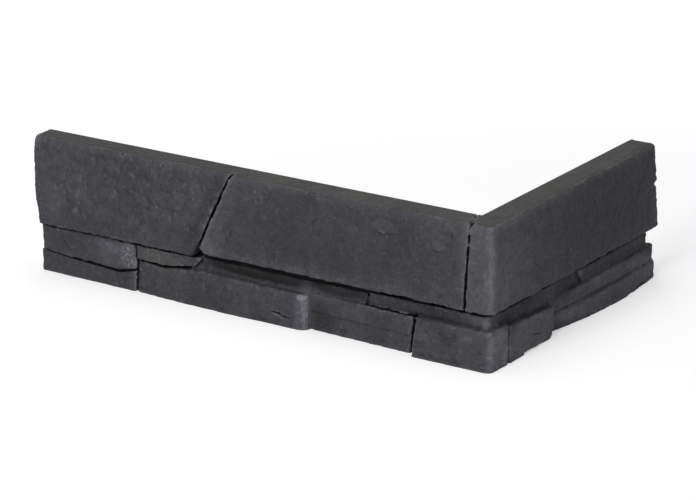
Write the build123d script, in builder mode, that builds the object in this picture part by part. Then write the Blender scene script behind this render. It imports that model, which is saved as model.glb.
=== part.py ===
"""Concrete cladding corner: one cast piece, two thin legs with a stacked-stone face round an outside corner.

The origin is on the wall's arris, the line where the two flat backs meet, at the lower bed.
The long leg runs along -X and faces -Y. The short leg runs along +Y and faces +X. Sizes are in mm.
Stones are placed by their distance from the wall's arris along the leg, their level and their depth.
"""

import os

from build123d import *

# Whole piece
height = 100.0
long_leg = 351.2
short_leg = 210.0

# Cast body behind the stones, measured out from the wall
web_depth = 6.0
web_setback = 15.0
lower_back_depth = 9.0
lower_back_height = 31.2
upper_back_depth = 14.0
shoulder_level = 26.0
shoulder_top = 33.2
shoulder_start = 222.0
shoulder_end = 82.0

# Joints between stones
joint = 1.0
bed_joint = 1.6
score_depth = 1.6

# Upper course: three tall slabs
slab_foot = 40.4
slab_round = 5.0
left_slab_depth = 18.8
left_slab_foot = 36.4
left_slab_foot_end = 347.4
left_slab_knee = 62.0
middle_slab_depth = 20.8
middle_slab_clip_run = 3.4
middle_slab_clip_rise = 4.6
diagonal_head = 184.8
diagonal_head_gap = 1.8
diagonal_foot = 215.8
diagonal_foot_gap = 2.6
corner_slab_depth = 20.8
corner_slab_drop = 1.4
corner_joint_head = 2.6
corner_joint_foot = -1.2
corner_joint_root = -3.5
corner_slab_head_end = 199.0
corner_slab_foot_end = 207.0

# Lower course on the long leg
end_joint = 266.4
end_joint_lean = 2.0
end_ledge_depth = 15.4
end_ledge_swell = 1.6
end_ledge_end = 348.0
end_ledge_foot = 16.8
end_ledge_belly = 13.8
end_ledge_belly_at = 283.0
end_block_depth = 12.0
end_block_swell = 2.2
end_gap = 1.0
end_gap_belly = 2.6
flake_depth = 15.8
flake_end = 213.6
flake_end_depth = 14.4
flake_end_clip = 5.0
flake_end_head = 32.6
flake_foot = 25.0
flake_belly = 23.6
flake_belly_at = 244.0
flake_end_foot = 27.6
step_block_depth = 13.2
step_block_belly = 17.4
step_block_belly_at = 180.0
step_block_end_depth = 16.9
step_block_end = 126.3
step_block_top = 26.4
step_block_drop = 1.2
step_shoulder_depth = 12.6
split_block_depth = 10.8
split_block_swell = 3.8
split_lip = 1.2
split_level = 13.2
split_block_top = 26.4
split_joint = 2.2
split_shoulder_depth = 11.4
corner_block_depth = 19.0
corner_block_top = 27.8
corner_block_end = 42.4
corner_block_lean = 3.4
corner_strip_depth = 14.4
corner_strip_end = 77.2
corner_strip_top = 36.6

# Lower course on the short leg
return_joint = 5.2
return_block_depth = 19.6
return_block_taper = 1.8
return_block_end = 66.5
return_block_top = 25.6
return_block_drop = 3.8
return_block_chip = 1.5
return_block_chip_at = 23.5
return_block_clip_run = 5.0
return_block_clip_rise = 4.5
bulge_depth = 20.2
bulge_at = 152.0
bulge_start_depth = 9.8
bulge_end_depth = 15.4
bulge_top = 13.0
return_ledge_depth = 15.6
return_ledge_start_depth = 12.6
return_ledge_end_depth = 15.2
return_ledge_end = 206.8
return_ledge_top = 24.6
near_strip_depth = 13.0
near_strip_foot = 21.0
near_strip_end = 72.0
near_strip_lean = 5.8
near_strip_top = 34.6
far_strip_depth = 14.0
far_strip_start = 110.0
far_strip_lean = 6.5
far_strip_end = 199.4
far_strip_top = 34.8
return_shoulder_depth = 12.2

# Worn arrises
slab_wear = 1.5
corner_wear = 5.0
block_wear = 2.0
ledge_end_wear = 4.0
step_end_wear = 6.0
bulge_wear = 4.0
strip_wear = 1.2

# A turn between two faces that counts as an arris, in degrees
arris_turn = 20.0

long_face = Plane(origin=(0, 0, 0), x_dir=(1, 0, 0), z_dir=(0, -1, 0))
short_face = Plane(origin=(0, 0, 0), x_dir=(0, 1, 0), z_dir=(1, 0, 0))


def shown_faces(body, looks):
    """The outermost face of a stone for each of the ways that it looks out of the wall."""
    return ShapeList(
        max(
            body.faces().filter_by(lambda side: side.normal_at(side.center()).dot(way) > 0.5),
            key=lambda side: side.center().dot(way),
        )
        for way in looks
    )


def arrises(body, looks):
    """Edges round the shown faces where two faces meet at a real turn, but not the crisp lower bed's."""
    sides = body.faces()
    found = ShapeList()
    for edge in shown_faces(body, looks).edges():
        middle = edge @ 0.5
        normals = [side.normal_at(middle) for side in sides if edge in side.edges()]
        if middle.Z > bed_joint and normals[0].get_angle(normals[1]) > arris_turn:
            found.append(edge)
    return found


def stone(face, outline, depths, wear, bow=None, end_wear=None):
    """One stone: its outline on the face, cut back to its front line in plan, with worn arrises.

    The front line runs straight between the depths at the stone's two ends, or swells through a bow point.
    The upright arris at the end of the front line may be worn to a broader radius of its own.
    """
    span = [along for along, level in outline]
    start = (min(span) - joint, depths[0])
    finish = (max(span) + joint, depths[1])
    with BuildPart() as body:
        with BuildSketch(face):
            with BuildLine():
                Polyline(*outline, close=True)
            make_face()
        extrude(amount=2 * corner_slab_depth)
        with BuildSketch(Plane(origin=(0, 0, 0), x_dir=face.x_dir, z_dir=(0, 0, -1))):
            with BuildLine():
                if bow:
                    ThreePointArc(start, bow, finish)
                else:
                    Line(start, finish)
                Polyline(finish, (finish[0], 0), (start[0], 0), start)
            make_face()
        extrude(amount=-height, mode=Mode.INTERSECT)
        if end_wear:
            upright = shown_faces(body, [face.z_dir]).edges().filter_by(Axis.Z)
            fillet(max(upright, key=lambda edge: edge.center().dot(face.x_dir)), radius=end_wear)
        fillet(arrises(body, [face.z_dir]), radius=wear)
    return body.part


def corner_stone(outline, depth, past, wear, broad):
    """One stone that turns the corner: its outline on the long face, then on round to a line past the arris.

    Its upright corner is worn to the broad radius first, and the other arrises to the finer one.
    """
    looks = [long_face.z_dir, short_face.z_dir]
    with BuildPart() as body:
        with BuildSketch(long_face.offset(-past)):
            with BuildLine():
                Polyline(*outline, close=True)
            make_face()
        extrude(amount=depth + past)
        with BuildSketch():
            with BuildLine():
                Polyline(
                    (-long_leg, 0),
                    (0, 0),
                    (0, past),
                    (depth, past),
                    (depth, -depth),
                    (-long_leg, -depth),
                    close=True,
                )
            make_face()
        extrude(amount=height, mode=Mode.INTERSECT)
        shown = shown_faces(body, looks)
        fillet([edge for edge in shown[0].edges() if edge in shown[1].edges()], radius=broad)
        fillet(arrises(body, looks), radius=wear)
    return body.part


def slab(face, outline, depth, turns=(), notch=()):
    """One tall slab with a flat face, a broad round over its top arris, and worn arrises elsewhere.

    A slab that turns the corner also shows its end there, where a notch leans the end's inner side, and both
    its upright arrises have the broad round.
    """
    looks = [face.z_dir, *turns]
    with BuildPart() as body:
        with BuildSketch(face):
            with BuildLine():
                Polyline(*outline, close=True)
            make_face()
        extrude(amount=depth)
        if notch:
            with BuildSketch(long_face):
                with BuildLine():
                    Polyline(*notch, close=True)
                make_face()
            extrude(amount=depth, mode=Mode.SUBTRACT)
        shown = shown_faces(body, looks)
        broad = shown.edges().group_by(Axis.Z)[-1]
        if turns:
            broad += [edge for edge in shown[0].edges() if edge in shown[1].edges()]
            broad += shown[0].edges().sort_by(Axis.Y)[-1:]
        fillet(broad, radius=slab_round)
        fillet(arrises(body, looks), radius=slab_wear)
    return body.part


# Upper course: three tall slabs, and where the middle one's clipped corner meets the diagonal joint
clip_level = slab_foot + middle_slab_clip_rise
clip_share = (clip_level - left_slab_foot) / (height - left_slab_foot)
middle_slab_head = diagonal_head - diagonal_head_gap / 2
middle_slab_toe = diagonal_foot - diagonal_foot_gap / 2
clip_at = middle_slab_toe + clip_share * (middle_slab_head - middle_slab_toe)
left_slab = slab(
    long_face,
    [
        (-long_leg, height),
        (-diagonal_head - diagonal_head_gap / 2, height),
        (-diagonal_foot - diagonal_foot_gap / 2, left_slab_foot),
        (-left_slab_foot_end, left_slab_foot),
        (-long_leg, left_slab_knee),
    ],
    left_slab_depth,
)
middle_slab = slab(
    long_face,
    [
        (-middle_slab_head, height),
        (corner_joint_head - joint / 2, height),
        (corner_joint_foot - joint / 2, slab_foot),
        (middle_slab_clip_run - clip_at, slab_foot),
        (-clip_at, clip_level),
    ],
    middle_slab_depth,
)
corner_slab = slab(
    short_face,
    [
        (-middle_slab_depth, height),
        (corner_slab_head_end, height),
        (corner_slab_foot_end, slab_foot - corner_slab_drop),
        (-middle_slab_depth, slab_foot),
    ],
    corner_slab_depth,
    turns=[long_face.z_dir],
    notch=[(0, height), (corner_joint_head + joint / 2, height), (0, slab_foot)],
)

# Lower course on the long leg, from its far end to the corner
end_ledge = stone(
    long_face,
    [
        (-end_ledge_end, left_slab_foot - end_gap),
        (-end_joint - joint / 2, left_slab_foot - end_gap),
        (-end_joint - joint / 2, end_ledge_foot),
        (-end_ledge_belly_at, end_ledge_belly),
        (-end_ledge_end, end_ledge_foot),
    ],
    (end_ledge_depth, end_ledge_depth + end_ledge_swell),
    block_wear,
    end_wear=ledge_end_wear,
)
end_block = stone(
    long_face,
    [
        (-long_leg, 0),
        (-end_joint - joint / 2 - end_joint_lean, 0),
        (-end_joint - joint, end_ledge_foot - end_gap),
        (-end_ledge_belly_at, end_ledge_belly - end_gap_belly),
        (-long_leg, end_ledge_foot - end_gap),
    ],
    (end_block_depth, end_block_depth + end_block_swell),
    block_wear,
)
flake = stone(
    long_face,
    [
        (-end_joint + joint / 2, left_slab_foot - bed_joint),
        (-flake_end, left_slab_foot - bed_joint),
        (-flake_end, flake_end_head),
        (-flake_end - flake_end_clip, flake_end_foot),
        (-flake_belly_at, flake_belly),
        (-end_joint + joint / 2, flake_foot),
    ],
    (flake_depth, flake_end_depth),
    strip_wear,
)
step_block = stone(
    long_face,
    [
        (-end_joint + joint / 2 - end_joint_lean, 0),
        (-step_block_end, 0),
        (-step_block_end, step_block_top - step_block_drop),
        (-flake_end, step_block_top),
        (-flake_belly_at, flake_belly - bed_joint),
        (-end_joint + joint / 2, flake_foot - bed_joint),
    ],
    (step_block_depth, step_block_end_depth),
    block_wear,
    bow=(-step_block_belly_at, step_block_belly),
    end_wear=step_end_wear,
)
split_foot = stone(
    long_face,
    [
        (-step_block_end - joint, 0),
        (-corner_block_end - split_joint, 0),
        (-corner_block_end - split_joint + corner_block_lean / 2, split_level),
        (-step_block_end - joint, split_level),
    ],
    (split_block_depth, split_block_depth + split_block_swell),
    strip_wear,
)
split_head = stone(
    long_face,
    [
        (-step_block_end - joint, split_level),
        (-corner_block_end - split_joint + corner_block_lean / 2, split_level),
        (-corner_block_end - split_joint + corner_block_lean, split_block_top),
        (-step_block_end - joint, split_block_top),
    ],
    (split_block_depth + split_lip, split_block_depth + split_block_swell + split_lip),
    strip_wear,
)
corner_block = corner_stone(
    [
        (-corner_block_end, 0),
        (corner_block_depth, 0),
        (corner_block_depth, corner_block_top),
        (-corner_block_end + corner_block_lean, corner_block_top),
    ],
    corner_block_depth,
    return_joint - joint / 2,
    block_wear,
    corner_wear,
)
corner_strip = corner_stone(
    [
        (-corner_strip_end, corner_block_top),
        (corner_strip_depth, corner_block_top),
        (corner_strip_depth, corner_strip_top),
        (-corner_strip_end, corner_strip_top),
    ],
    corner_strip_depth,
    joint,
    strip_wear,
    corner_wear,
)

# Lower course on the short leg, from the corner to its far end
return_block = stone(
    short_face,
    [
        (return_joint + joint / 2, 0),
        (return_block_chip_at, 0),
        (return_block_chip_at + return_block_chip, return_block_chip),
        (return_block_end - return_block_clip_run, 0),
        (return_block_end, return_block_clip_rise),
        (return_block_end, return_block_top - return_block_drop),
        (return_joint + joint / 2, return_block_top),
    ],
    (return_block_depth, return_block_depth - return_block_taper),
    block_wear,
)
bulge = stone(
    short_face,
    [
        (return_block_end - joint, 0),
        (short_leg, 0),
        (short_leg, bulge_top),
        (return_block_end - joint, bulge_top),
    ],
    (bulge_start_depth, bulge_end_depth),
    bulge_wear,
    bow=(bulge_at, bulge_depth),
)
return_ledge = stone(
    short_face,
    [
        (return_block_end - joint, bulge_top),
        (return_ledge_end, bulge_top),
        (return_ledge_end, return_ledge_top),
        (return_block_end - joint, return_ledge_top),
    ],
    (return_ledge_start_depth, return_ledge_end_depth),
    block_wear,
    bow=(bulge_at, return_ledge_depth),
)
near_strip = stone(
    short_face,
    [
        (joint, near_strip_foot),
        (near_strip_end, near_strip_foot),
        (near_strip_end + near_strip_lean, near_strip_top),
        (joint, near_strip_top),
    ],
    (near_strip_depth, near_strip_depth),
    strip_wear,
)
far_strip = stone(
    short_face,
    [
        (far_strip_start, return_ledge_top),
        (far_strip_end, return_ledge_top),
        (far_strip_end, far_strip_top),
        (far_strip_start - far_strip_lean, far_strip_top),
    ],
    (far_strip_depth, far_strip_depth),
    strip_wear,
)

stones = [
    left_slab,
    middle_slab,
    corner_slab,
    end_ledge,
    end_block,
    flake,
    step_block,
    split_foot,
    split_head,
    corner_block,
    corner_strip,
    return_block,
    bulge,
    return_ledge,
    near_strip,
    far_strip,
]

with BuildPart() as cladding_corner:
    # Cast body behind the stones: the web, then the floors of the lower and the upper joints
    for depth, foot, head in (
        (web_depth, 0, height),
        (lower_back_depth, 0, lower_back_height),
        (upper_back_depth, slab_foot, height),
    ):
        with BuildSketch(Plane.XY.offset(foot)):
            with BuildLine():
                Polyline(
                    (0, 0),
                    (0, short_leg - web_setback),
                    (depth, short_leg - web_setback),
                    (depth, -depth),
                    (web_setback - long_leg, -depth),
                    (web_setback - long_leg, 0),
                    close=True,
                )
            make_face()
        extrude(amount=head - foot)
    # Sloping shoulders from the recess under the middle slab to the stones below it
    for start, finish, depth in (
        (step_block_end, shoulder_start, step_shoulder_depth),
        (shoulder_end, step_block_end, split_shoulder_depth),
    ):
        with BuildSketch(Plane(origin=(-start, 0, 0), x_dir=(0, -1, 0), z_dir=(-1, 0, 0))):
            with BuildLine():
                Polyline(
                    (0, split_level),
                    (lower_back_depth, split_level),
                    (depth, shoulder_level),
                    (lower_back_depth, shoulder_top),
                    (0, shoulder_top),
                    close=True,
                )
            make_face()
        extrude(amount=finish - start)
    # The same on the short leg, in the gap between its two strips
    with BuildSketch(Plane(origin=(0, far_strip_start, 0), x_dir=(1, 0, 0), z_dir=(0, -1, 0))):
        with BuildLine():
            Polyline(
                (0, bulge_top),
                (lower_back_depth, bulge_top),
                (return_shoulder_depth, return_ledge_top),
                (lower_back_depth, shoulder_top),
                (0, shoulder_top),
                close=True,
            )
        make_face()
    extrude(amount=far_strip_start - near_strip_end)
    for cast in stones:
        add(cast)
    # The corner joint runs on over the upper bed to the wall
    with BuildSketch(Plane.XY.offset(height)):
        with BuildLine():
            Polyline(
                (corner_joint_head - joint / 2, -middle_slab_depth),
                (corner_joint_head + joint / 2, -middle_slab_depth),
                (corner_joint_root + joint / 2, 0),
                (corner_joint_root - joint / 2, 0),
                close=True,
            )
        make_face()
    extrude(amount=-score_depth, mode=Mode.SUBTRACT)

os.makedirs("parts", exist_ok=True)
cladding_corner.part.label = "cladding_corner"
export_step(cladding_corner.part, "parts/cladding_corner.step")
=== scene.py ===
"""Looks of a concrete cladding corner: riven relief, worn arrises, through-coloured concrete, and painted
light and shade.
"""

import logging
import math
from dataclasses import dataclass, field
from enum import Enum
from typing import Union

import bmesh
import bpy
from mathutils import Matrix, Vector


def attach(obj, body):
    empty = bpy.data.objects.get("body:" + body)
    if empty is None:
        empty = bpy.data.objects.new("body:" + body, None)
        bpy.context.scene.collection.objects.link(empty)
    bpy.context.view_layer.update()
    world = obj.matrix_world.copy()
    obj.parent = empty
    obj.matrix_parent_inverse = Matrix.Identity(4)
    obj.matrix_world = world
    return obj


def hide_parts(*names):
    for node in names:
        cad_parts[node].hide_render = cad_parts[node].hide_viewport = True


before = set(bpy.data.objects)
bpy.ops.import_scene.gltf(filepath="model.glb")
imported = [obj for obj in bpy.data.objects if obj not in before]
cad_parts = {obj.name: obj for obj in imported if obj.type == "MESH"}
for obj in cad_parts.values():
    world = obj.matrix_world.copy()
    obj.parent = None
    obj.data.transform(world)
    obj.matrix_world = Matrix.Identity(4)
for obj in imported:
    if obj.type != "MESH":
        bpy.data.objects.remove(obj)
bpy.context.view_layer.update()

LOG = logging.getLogger("cladding_corner")
NODE = "cladding_corner"
BODY = "root"
MM = 0.001
IMAGE_WIDTH = 696

Feed = Union[bpy.types.NodeSocket, float, str, tuple, Vector, bpy.types.Material]
Socket = bpy.types.NodeSocket
Colour = tuple[float, float, float]
Step = tuple[float, float]
Slope = tuple[float, float]

WHITE: Colour = (1.0, 1.0, 1.0)


def opaque(colour: Colour) -> tuple[float, float, float, float]:
    """Colour with full alpha, as a colour socket takes it."""
    return (*colour, 1.0)


class Side(Enum):
    """A shown side of the corner: the wall face that it stands in front of."""

    LONG = "long"
    SHORT = "short"

    @property
    def plane(self) -> Vector:
        """Axes that lie in this side's face."""
        return Vector((1.0, 0.0, 1.0)) if self is Side.LONG else Vector((0.0, 1.0, 1.0))

    def point(self, along: float, up: float) -> Vector:
        """Point of the face.

        Args:
            along: Distance from the wall's corner along the side, in millimetres.
            up: Height above the lower bed, in millimetres.

        Returns:
            The point, with nothing for the depth.
        """
        return Vector((along, 0.0, up)) if self is Side.LONG else Vector((0.0, along, up))


class Nodes:
    """Adds nodes to one tree and joins them up."""

    def __init__(self, tree: bpy.types.NodeTree) -> None:
        """Keeps the tree that the nodes go into."""
        self.tree = tree

    def feed(self, socket: Socket, value: Feed) -> None:
        """Links a socket to an output, or sets its value.

        Args:
            socket: Input socket.
            value: Output socket to link, or the value to set.
        """
        if isinstance(value, bpy.types.NodeSocket):
            self.tree.links.new(value, socket)
        else:
            socket.default_value = value

    def add(
        self, kind: str, feeds: dict[Union[int, str], Feed] | None = None, **settings: object
    ) -> bpy.types.Node:
        """Adds a node.

        Args:
            kind: The node's type.
            feeds: Values or links for its inputs, by place or by name.
            **settings: Properties of the node.

        Returns:
            The new node.
        """
        node = self.tree.nodes.new(kind)
        for name, value in settings.items():
            setattr(node, name, value)
        for key, value in (feeds or {}).items():
            named = key if isinstance(key, int) else next(
                i for i, s in enumerate(node.inputs) if s.name == key and s.enabled
            )
            self.feed(node.inputs[named], value)
        return node

    def math(self, operation: str, *terms: Feed) -> Socket:
        """Result of a sum on numbers."""
        return self.add("ShaderNodeMath", dict(enumerate(terms)), operation=operation).outputs[0]

    def vector(self, operation: str, *terms: Feed) -> Socket:
        """Vector that a sum on vectors gives."""
        return self.add("ShaderNodeVectorMath", dict(enumerate(terms)), operation=operation).outputs[0]

    def measure(self, operation: str, *terms: Feed) -> Socket:
        """Number that a sum on vectors gives."""
        return self.add("ShaderNodeVectorMath", dict(enumerate(terms)), operation=operation).outputs[1]

    def scaled(self, vector: Feed, factor: Feed) -> Socket:
        """Vector times a number."""
        return self.add("ShaderNodeVectorMath", {0: vector, 3: factor}, operation="SCALE").outputs[0]

    def split(self, vector: Feed) -> tuple[Socket, Socket, Socket]:
        """The x, y and z of a vector."""
        out = self.add("ShaderNodeSeparateXYZ", {0: vector}).outputs
        return out[0], out[1], out[2]

    def joined(self, x: Feed, y: Feed, z: Feed) -> Socket:
        """Vector of three numbers."""
        return self.add("ShaderNodeCombineXYZ", {0: x, 1: y, 2: z}).outputs[0]

    def smooth(self, value: Feed, low: Feed, high: Feed, start: float = 0.0, end: float = 1.0) -> Socket:
        """Smooth step of a number.

        Args:
            value: The number.
            low: Where the step begins.
            high: Where it ends.
            start: Result up to low.
            end: Result from high.

        Returns:
            The stepped number.
        """
        feeds = {0: value, 1: low, 2: high, 3: start, 4: end}
        return self.add("ShaderNodeMapRange", feeds, interpolation_type="SMOOTHSTEP").outputs[0]

    def sloped(self, value: Feed, slope: Slope) -> Socket:
        """Number times the first part of a slope, plus the second."""
        return self.math("MULTIPLY_ADD", value, *slope)

    def noise(
        self,
        point: Feed,
        size: float,
        seed: Feed,
        detail: float = 2.0,
        rough: float = 0.5,
        warp: float = 0.0,
    ) -> bpy.types.Node:
        """Cloudy noise in space.

        Args:
            point: Where it is read, in millimetres.
            size: Width of one cloud, in millimetres.
            seed: Fourth coordinate.
            detail: Octaves.
            rough: Strength of the finer octaves.
            warp: Distortion.

        Returns:
            The noise node: its first output is a number and its second a colour.
        """
        feeds = {
            "Vector": point,
            "W": seed,
            "Scale": 1.0 / size,
            "Detail": detail,
            "Roughness": rough,
            "Distortion": warp,
        }
        return self.add("ShaderNodeTexNoise", feeds, noise_dimensions="4D")

    def signed(self, noise: bpy.types.Node, reach: Feed) -> Socket:
        """Noise as a number from minus reach to plus reach."""
        return self.math("MULTIPLY", self.math("MULTIPLY_ADD", noise.outputs[0], 2.0, -1.0), reach)

    def shaken(self, noise: bpy.types.Node) -> Socket:
        """Noise as a vector of numbers from minus a half to plus a half."""
        return self.vector("SUBTRACT", noise.outputs[1], Vector((0.5, 0.5, 0.5)))

    def cells(self, point: Feed, scale: Feed) -> tuple[Socket, Socket]:
        """Distance to the nearest of many scattered points, and the random colour of that point."""
        feeds = {"Vector": point, "Scale": scale}
        out = self.add("ShaderNodeTexVoronoi", feeds, voronoi_dimensions="3D").outputs
        return out[0], out[1]

    def mix(self, factor: Feed, first: Feed, second: Feed, blend: str = "MIX") -> Socket:
        """Mixed colour.

        Args:
            factor: Share of the second colour.
            first: Colour at 0.
            second: Colour at 1.
            blend: How they are blended.

        Returns:
            The mixed colour.
        """
        feeds = {0: factor, 6: first, 7: second}
        return self.add("ShaderNodeMix", feeds, data_type="RGBA", blend_type=blend).outputs[2]

    def use(self, tree: bpy.types.NodeTree, feeds: dict[str, Feed]) -> dict[str, Socket]:
        """Puts a node group into the tree.

        Args:
            tree: The group's own tree.
            feeds: Values or links for its inputs, by name.

        Returns:
            Its outputs, by name.
        """
        kind = "GeometryNodeGroup" if tree.bl_idname == "GeometryNodeTree" else "ShaderNodeGroup"
        node = self.add(kind, node_tree=tree)
        for label, value in feeds.items():
            self.feed(node.inputs[label], value)
        return {out.name: out for out in node.outputs}


class Group:
    """A node group with named inputs and outputs."""

    KINDS = {
        "value": "NodeSocketFloat",
        "vector": "NodeSocketVector",
        "geometry": "NodeSocketGeometry",
        "material": "NodeSocketMaterial",
    }

    def __init__(self, name: str, tree_type: str, inputs: dict[str, str], outputs: dict[str, str]) -> None:
        """Makes the group.

        Args:
            name: Its name.
            tree_type: Shader or geometry tree.
            inputs: Kind of each named input.
            outputs: Kind of each named output.
        """
        self.tree = bpy.data.node_groups.new(name, tree_type)
        for names, way in ((inputs, "INPUT"), (outputs, "OUTPUT")):
            for label, kind in names.items():
                self.tree.interface.new_socket(name=label, in_out=way, socket_type=self.KINDS[kind])
        self.nodes = Nodes(self.tree)
        self.given = self.nodes.add("NodeGroupInput").outputs
        self.end = self.nodes.add("NodeGroupOutput").inputs

    def gives(self, **results: Feed) -> None:
        """Feeds the outputs, by name."""
        for label, value in results.items():
            self.nodes.feed(self.end[label], value)

    def identifier(self, label: str) -> str:
        """Identifier of a named input, by which a modifier's value is set."""
        return next(
            item.identifier
            for item in self.tree.interface.items_tree
            if item.name == label and item.in_out == "INPUT"
        )


@dataclass(frozen=True)
class Spot:
    """A place on a face where the stone is broken out, paler, darker, warmer or rougher, or where shade or a
    highlight is painted on. Millimetres.

    The spot is an ellipse about its centre. It is full up to the edge share of its reach, and its depth
    grows along the lean.
    """

    side: Side
    along: float
    up: float
    length: float
    height: float
    depth: float = 0.0
    lean: tuple[float, float] = (0.0, 0.0)
    edge: float = 0.6
    tone: float = 0.0
    warmth: float = 0.0
    rough: float = 0.0
    lump: float = 0.0


@dataclass(frozen=True)
class Streak:
    """A crack, dry joint, dark joint, pale arris, painted shade or painted highlight, drawn from one point
    to another. Millimetres.

    It marks what looks out of its side, or the whole front if it goes every way.
    """

    side: Side
    start: tuple[float, float]
    end: tuple[float, float]
    width: float = 1.2
    depth: float = 0.0
    tone: float = 0.0
    every_way: bool = False


@dataclass(frozen=True)
class Relief:
    """Sizes of the riven relief, in millimetres. A Step says where a smooth step begins and ends."""

    seed: float = 3.7
    wander: float = 0.6
    wander_size: float = 15.0
    wander_detail: float = 1.5
    nibble: float = 0.45
    nibble_size: float = 4.0
    nibble_seed: float = 5.0
    loose_depth: Step = (0.5, 6.0)
    loose_foot: Step = (0.5, 6.0)
    loose_head: Step = (99.5, 92.0)
    swell: float = 0.5
    swell_size: float = 46.0
    riven: float = 0.6
    riven_size: float = 6.5
    riven_stretch: tuple[float, float, float] = (1.25, 1.25, 0.75)
    knob: float = 3.2
    knob_size: float = 11.0
    knob_level: float = 0.45
    terrace: float = 0.6
    terrace_size: float = 24.0
    terrace_levels: float = 7.0
    terrace_seed: float = 2.0
    terrace_scarp: Step = (0.72, 1.0)
    pit: float = 0.5
    pit_cell: float = 9.0
    pit_width: float = 0.8
    pit_lip: Step = (0.04, -0.04)
    rough: float = 0.65
    rough_size: float = 2.6
    spot_warp: float = 4.0
    spot_warp_size: float = 5.0
    facing: Step = (0.2, 0.6)
    front: Step = (0.5, 4.0)
    foot: Step = (0.0, 2.0)
    bed_tilt: Step = (0.84, 0.99)
    bed_height: Step = (94.0, 98.0)
    bed_share: float = 0.3
    wear_bulge: Step = (0.16, 0.45)
    wear_blur: int = 14
    # Hollows, and the places where the rays find the surface shut in, get painted shade in the material.
    hollow_bulge: Step = (-0.05, -0.32)
    shade_reach: float = 12.0
    shade_start: float = 0.3
    shade_blur: int = 1
    back_skin: float = 0.5


@dataclass(frozen=True)
class Layer:
    """One layer of the pigment: noise of one width in millimetres, sharpened by a smooth step."""

    label: str
    size: float
    step: Step
    seed: float = 0.0
    detail: float = 4.0
    rough: float = 0.6
    warp: float = 0.0
    stretch: tuple[float, float, float] = (1.0, 1.0, 1.0)


@dataclass(frozen=True)
class Sand:
    """Grains of sand and pores, one to a cell at most. Sizes are shares of the cell."""

    least: float = 0.06
    spread: float = 0.15
    rarity: float = 3.0
    rim: Step = (1.0, 0.5)
    pores: float = 1.5


@dataclass(frozen=True)
class CementGrain:
    """Fine grain of the cement skin, in millimetres."""

    coarse_size: float = 1.9
    fine_size: float = 0.7
    fine_share: float = 0.35
    fine_seed: float = 3.0


@dataclass(frozen=True)
class Shares:
    """How much each effect counts in the concrete's look. A Slope is a factor on a mask and a base."""

    stretch: tuple[float, float, float] = (1.0, 0.62, 1.0)
    cloud: float = 0.5
    blotch: float = 0.33
    patch: float = 0.27
    fleck: Slope = (0.4, 0.1)
    grit: Slope = (0.35, 0.12)
    stain: float = 0.15
    warm: Slope = (0.8, 0.3)
    warm_bed: Slope = (0.3, 0.55)
    most_warm: float = 0.85
    # Painted shade on the top bed, mottled by the clouds.
    painted_bed_shade: Slope = (0.25, -0.54)
    crumb: float = 0.4
    worn: Slope = (0.45, 0.32)
    # Rim of the top bed: pale wear and a painted highlight.
    rim: Slope = (0.55, 0.15)
    # Painted shade in hollows.
    hollow: float = 0.5
    sand: float = 0.5
    pore: float = 0.6
    # Painted shade where the surface is shut in: in joints, recesses and under overhangs.
    shade: Step = (0.28, 0.54)
    polish: float = -0.08
    specular: float = 0.35


@dataclass(frozen=True)
class ConcreteFinish:
    """Colours and gloss of the concrete. Linear colours, speck cell in millimetres."""

    name: str
    seed: float
    deep: Colour
    middle: Colour
    pale: Colour
    earth: Colour
    worn: Colour
    # Near black: painted shade in hollows, joints and recesses, and the real pores.
    shade_and_pore: Colour
    speck: Colour
    roughness: float
    grain: float
    speck_cell: float
    speck_share: float
    marked: bool


RIVEN_FACE = ConcreteFinish(
    name="riven_anthracite_concrete",
    seed=1.3,
    deep=(0.0325, 0.0316, 0.0392),
    middle=(0.0585, 0.0570, 0.0668),
    pale=(0.100, 0.098, 0.112),
    earth=(0.061, 0.0585, 0.052),
    worn=(0.145, 0.143, 0.150),
    shade_and_pore=(0.006, 0.006, 0.007),
    speck=(0.30, 0.30, 0.30),
    roughness=0.86,
    grain=0.4,
    speck_cell=4.2,
    speck_share=0.04,
    marked=True,
)
STRUCK_BACK = ConcreteFinish(
    name="struck_back_concrete",
    seed=6.1,
    deep=(0.036, 0.036, 0.038),
    middle=(0.086, 0.085, 0.085),
    pale=(0.165, 0.163, 0.158),
    earth=(0.096, 0.091, 0.080),
    worn=(0.120, 0.119, 0.118),
    shade_and_pore=(0.012, 0.012, 0.013),
    speck=(0.24, 0.24, 0.23),
    roughness=0.92,
    grain=1.2,
    speck_cell=6.0,
    speck_share=0.15,
    marked=False,
)
PIGMENT: tuple[Layer, ...] = (
    Layer("Cloud", 30.0, (0.33, 0.68), warp=0.4, stretch=(1.2, 1.2, 0.8)),
    Layer("Blotch", 8.0, (0.38, 0.64), seed=4.0, rough=0.62, warp=0.5),
    Layer("Patch", 5.0, (0.47, 0.55), seed=2.0, detail=3.0, warp=0.8),
    Layer("Fleck", 2.2, (0.54, 0.68), detail=3.0, rough=0.65),
    Layer("Grit", 1.1, (0.46, 0.66), seed=7.0, detail=2.0),
    Layer("Stain", 34.0, (0.5, 0.7), seed=9.0),
)

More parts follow.
